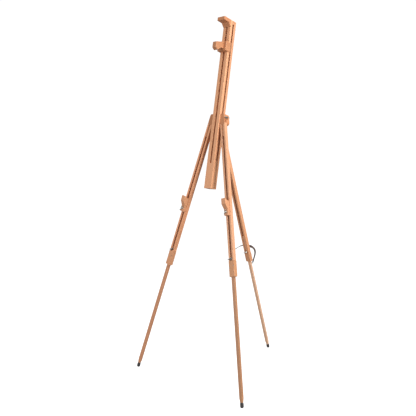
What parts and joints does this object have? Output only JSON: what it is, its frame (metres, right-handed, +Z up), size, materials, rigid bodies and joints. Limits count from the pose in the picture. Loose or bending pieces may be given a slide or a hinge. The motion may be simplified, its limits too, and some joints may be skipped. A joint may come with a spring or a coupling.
{
  "type": "artist easel",
  "caption": "Folding wooden tripod easel with extending slotted legs, a sliding tilting mast with a hook, a canvas clamp and canvas rests on the front legs.",
  "frame": {"origin": "centre of the bounding box, on the floor", "axes": "+Z up, -Y the way the canvas faces, +X the painter's right as they face the canvas: the side of the head's wing nut"},
  "size_m": [0.873, 0.8644, 2.1953],
  "materials": {
    "oiled_beech": "oiled",
    "dark_beech": "oiled",
    "steel": "zinc plated",
    "rubber": "matt",
    "leather": "worn"
  },
  "bodies": {
    "head": {"head_shoulder_left": "oiled_beech", "head_shoulder_right": "oiled_beech", "head_back_block": "oiled_beech", "front_pivot_bolt_left": "steel", "front_pivot_bolt_right": "steel", "head_bolt": "steel", "head_washer_left": "steel", "head_washer_right": "steel", "rear_hinge_bolt": "steel"},
    "head_nut": {"head_wing_nut": "steel"},
    "mast_slider": {"mast_slide_block": "dark_beech"},
    "mast": {"mast_front_board": "oiled_beech", "mast_rear_board": "oiled_beech", "mast_top_block": "oiled_beech", "mast_bottom_block": "oiled_beech", "mast_top_hook": "dark_beech"},
    "clamp": {"clamp_block": "oiled_beech", "clamp_stud": "steel", "clamp_washer": "steel"},
    "clamp_nut": {"clamp_wing_nut": "steel"},
    "left_leg": {"left_leg_left_rail": "oiled_beech", "left_leg_right_rail": "oiled_beech", "left_leg_tenon": "oiled_beech", "left_leg_collar": "oiled_beech", "left_leg_rivet_left": "steel", "left_leg_rivet_right": "steel"},
    "left_rod": {"left_rod": "oiled_beech", "left_foot": "rubber", "left_lock_bolt": "steel", "left_lock_washer": "steel"},
    "left_lock_nut": {"left_lock_wing_nut": "steel"},
    "left_rest": {"canvas_rest_left": "oiled_beech", "rest_bolt_left": "steel"},
    "left_rest_nut": {"rest_wing_nut_left": "steel"},
    "right_leg": {"right_leg_left_rail": "oiled_beech", "right_leg_right_rail": "oiled_beech", "right_leg_tenon": "oiled_beech", "right_leg_collar": "oiled_beech", "right_leg_rivet_left": "steel", "right_leg_rivet_right": "steel"},
    "right_rod": {"right_rod": "oiled_beech", "right_foot": "rubber", "right_lock_bolt": "steel", "right_lock_washer": "steel"},
    "right_lock_nut": {"right_lock_wing_nut": "steel"},
    "right_rest": {"canvas_rest_right": "oiled_beech", "rest_bolt_right": "steel"},
    "right_rest_nut": {"rest_wing_nut_right": "steel"},
    "rear_leg": {"rear_leg_left_rail": "oiled_beech", "rear_leg_right_rail": "oiled_beech", "rear_leg_collar": "oiled_beech", "rear_leg_rivet_left": "steel", "rear_leg_rivet_right": "steel", "strap": "leather", "strap_buckle": "steel"},
    "rear_rod": {"rear_rod": "oiled_beech", "rear_foot": "rubber", "rear_lock_stud": "steel", "rear_lock_washer": "steel"},
    "rear_lock_nut": {"rear_lock_wing_nut": "steel"}
  },
  "joints": [
    {"name": "head_nut_turn", "type": "hinge", "parent": "head", "child": "head_nut", "pos_m": [0.05673, -0.1248, 1.59209], "axis": [1, 0, 0], "continuous": true},
    {"name": "mast_tilt", "type": "hinge", "parent": "head", "child": "mast_slider", "pos_m": [0, -0.1248, 1.59209], "axis": [1, 0, 0], "range_deg": [-70, 0]},
    {"name": "mast_slide", "type": "slide", "parent": "mast_slider", "child": "mast", "axis": [0, 0.1812, 0.9834], "range_m": [-0.2, 0.2]},
    {"name": "clamp_slide", "type": "slide", "parent": "mast", "child": "clamp", "axis": [0, 0.1812, 0.9834], "range_m": [-0.15, 0.07]},
    {"name": "clamp_nut_turn", "type": "hinge", "parent": "clamp", "child": "clamp_nut", "pos_m": [0, -0.02091, 2.00917], "axis": [0, 0.9834, -0.1812], "continuous": true},
    {"name": "left_leg_spread", "type": "hinge", "parent": "head", "child": "left_leg", "pos_m": [-0.0468, -0.13537, 1.56455], "axis": [0, -0.9834, 0.1812], "range_deg": [0, 13.4]},
    {"name": "left_rod_slide", "type": "slide", "parent": "left_leg", "child": "left_rod", "axis": [0.2333, 0.1762, 0.9563], "range_m": [0, 0.2]},
    {"name": "left_lock_nut_turn", "type": "hinge", "parent": "left_rod", "child": "left_lock_nut", "pos_m": [-0.23914, -0.29245, 0.77824], "axis": [0, -0.9834, 0.1812], "continuous": true},
    {"name": "left_rest_slide", "type": "slide", "parent": "left_leg", "child": "left_rest", "axis": [0.2333, 0.1762, 0.9563], "range_m": [0, 0.3]},
    {"name": "left_rest_nut_turn", "type": "hinge", "parent": "left_rest", "child": "left_rest_nut", "pos_m": [-0.17615, -0.24488, 1.03645], "axis": [0, -0.9834, 0.1812], "continuous": true},
    {"name": "right_leg_spread", "type": "hinge", "parent": "head", "child": "right_leg", "pos_m": [0.0468, -0.13537, 1.56455], "axis": [0, 0.9834, -0.1812], "range_deg": [0, 13.4]},
    {"name": "right_rod_slide", "type": "slide", "parent": "right_leg", "child": "right_rod", "axis": [-0.2333, 0.1762, 0.9563], "range_m": [0, 0.2]},
    {"name": "right_lock_nut_turn", "type": "hinge", "parent": "right_rod", "child": "right_lock_nut", "pos_m": [0.23914, -0.29245, 0.77824], "axis": [0, -0.9834, 0.1812], "continuous": true},
    {"name": "right_rest_slide", "type": "slide", "parent": "right_leg", "child": "right_rest", "axis": [-0.2333, 0.1762, 0.9563], "range_m": [0, 0.3]},
    {"name": "right_rest_nut_turn", "type": "hinge", "parent": "right_rest", "child": "right_rest_nut", "pos_m": [0.17615, -0.24488, 1.03645], "axis": [0, -0.9834, 0.1812], "continuous": true},
    {"name": "rear_leg_swing", "type": "hinge", "parent": "head", "child": "rear_leg", "pos_m": [0, -0.09598, 1.50238], "axis": [-1, 0, 0], "range_deg": [0, 29.5]},
    {"name": "rear_rod_slide", "type": "slide", "parent": "rear_leg", "child": "rear_rod", "axis": [0, -0.3277, 0.9448], "range_m": [0, 0.6]},
    {"name": "rear_lock_nut_turn", "type": "hinge", "parent": "rear_rod", "child": "rear_lock_nut", "pos_m": [0, 0.16026, 0.72704], "axis": [0, -0.9448, -0.3277], "continuous": true}
  ]
}
